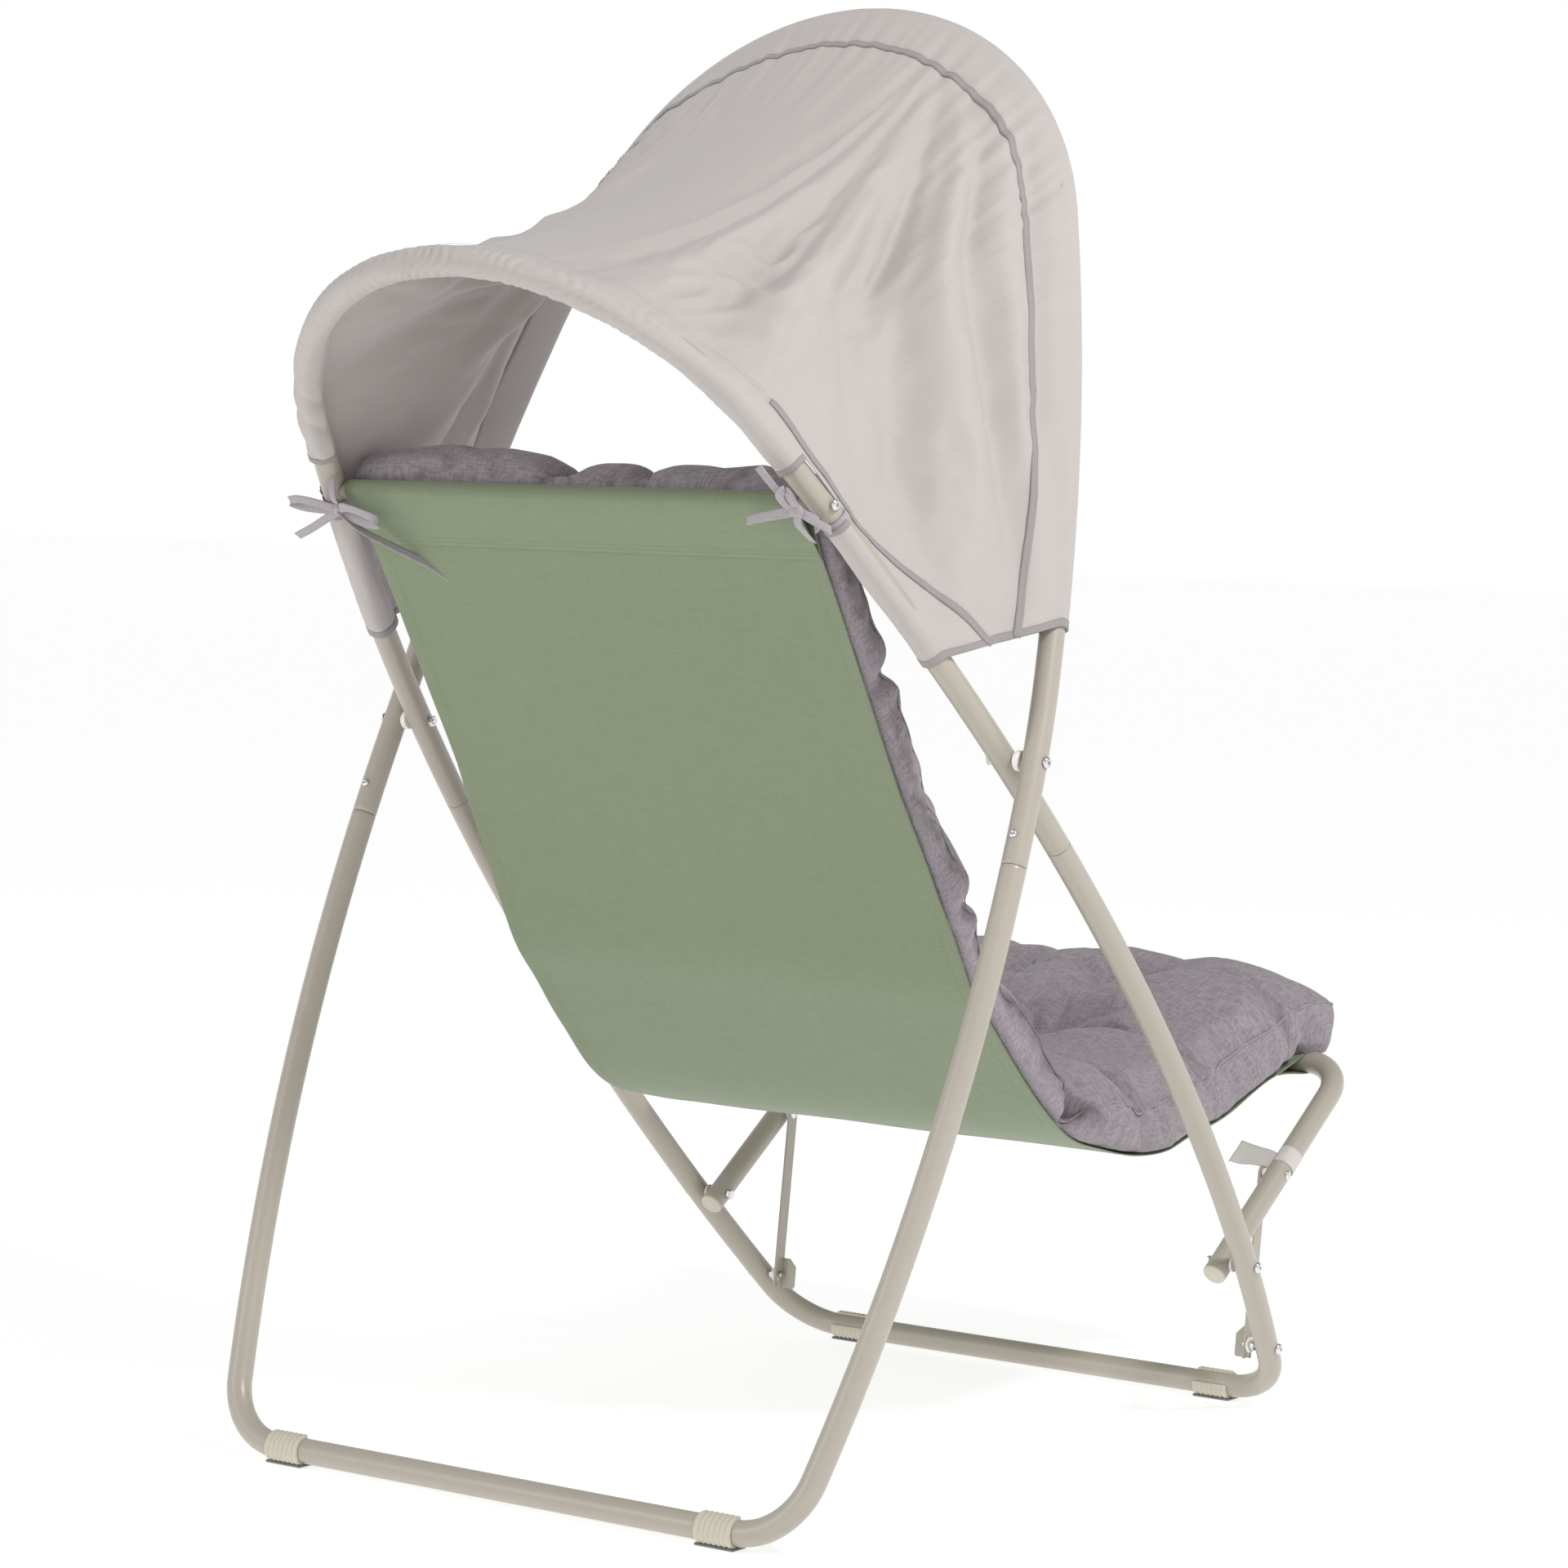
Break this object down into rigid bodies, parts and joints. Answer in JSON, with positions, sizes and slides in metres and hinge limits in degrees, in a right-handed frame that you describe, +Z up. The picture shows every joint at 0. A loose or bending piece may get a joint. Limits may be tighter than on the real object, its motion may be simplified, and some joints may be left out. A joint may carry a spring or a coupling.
{
  "type": "sun lounger with canopy",
  "caption": "Folding patio lounge chair: bowed tube frames crossed at a pivot, fabric sling, long tufted cushion, swing-out seat frame with hooked struts, and a cloth canopy on two hoops",
  "frame": {"origin": "On the floor, midway between the four clip feet in width and at the middle of the overall depth", "axes": "+Z up, the sitter faces -Y, +X is the sitter's left; the chair is symmetric left to right"},
  "size_m": [0.8426, 1.2319, 1.4863],
  "materials": {
    "frame_paint": "smooth satin powder coat, warm grey beige",
    "zinc": "zinc plated",
    "white_plastic": "white nylon",
    "foot_plastic": "moulded, beige",
    "sling_cloth": "ribbed outdoor weave, sage green",
    "cushion_cloth": "mottled grey weave",
    "canopy_cloth": "light warm grey sun cloth",
    "label_film": "blank white film"
  },
  "bodies": {
    "back_frame": {"front_leg_frame": "frame_paint", "backrest_hoop": "frame_paint", "sling_top_bar": "frame_paint", "sling": "sling_cloth", "cushion": "cushion_cloth", "canopy": "canopy_cloth", "tie_left": "cushion_cloth", "tie_right": "cushion_cloth", "front_foot_left": "foot_plastic", "front_foot_right": "foot_plastic", "pivot_bolt_left": "zinc", "pivot_bolt_right": "zinc", "pivot_nut_left": "zinc", "pivot_nut_right": "zinc", "pivot_spacer_left": "white_plastic", "pivot_spacer_right": "white_plastic", "seat_pivot_bolt_left": "zinc", "seat_pivot_bolt_right": "zinc", "seat_pivot_nut_left": "zinc", "seat_pivot_nut_right": "zinc", "seat_pivot_spacer_left": "white_plastic", "seat_pivot_spacer_right": "white_plastic", "strut_stud_left": "zinc", "strut_stud_right": "zinc", "stud_washer_left": "white_plastic", "stud_washer_right": "white_plastic", "sling_bar_screw_left": "zinc", "sling_bar_screw_right": "zinc"},
    "leg_frame": {"rear_leg_frame": "frame_paint", "canopy_front_hoop": "frame_paint", "splice_screw_left": "zinc", "splice_screw_right": "zinc", "rear_foot_left": "foot_plastic", "rear_foot_right": "foot_plastic"},
    "seat_frame_body": {"seat_frame": "frame_paint", "seat_end_cap_left": "white_plastic", "seat_end_cap_right": "white_plastic", "strut_rivet_left": "zinc", "strut_rivet_right": "zinc", "label_flag": "label_film", "strut_spacer_left": "white_plastic", "strut_spacer_right": "white_plastic"},
    "strut_left_body": {"seat_strut_left": "frame_paint"},
    "strut_right_body": {"seat_strut_right": "frame_paint"}
  },
  "joints": [
    {"name": "frame_fold", "type": "hinge", "parent": "back_frame", "child": "leg_frame", "pos_m": [0, 0.184, 0.731], "axis": [-1, 0, 0], "range_deg": [0, 60], "deforming": ["canopy"]},
    {"name": "seat_fold", "type": "hinge", "parent": "back_frame", "child": "seat_frame_body", "pos_m": [0, -0.31937, 0.1778], "axis": [-1, 0, 0], "range_deg": [0, 96], "deforming": ["sling", "cushion"]},
    {"name": "strut_left_swing", "type": "hinge", "parent": "seat_frame_body", "child": "strut_left_body", "pos_m": [0, -0.43278, 0.25989], "axis": [1, 0, 0], "range_deg": [0, 48]},
    {"name": "strut_right_swing", "type": "hinge", "parent": "seat_frame_body", "child": "strut_right_body", "pos_m": [0, -0.43278, 0.25989], "axis": [1, 0, 0], "range_deg": [0, 48]}
  ],
  "couplings": [
    {"joint": "strut_left_swing", "follows": "seat_fold", "ratio": 0.5},
    {"joint": "strut_right_swing", "follows": "seat_fold", "ratio": 0.5}
  ]
}
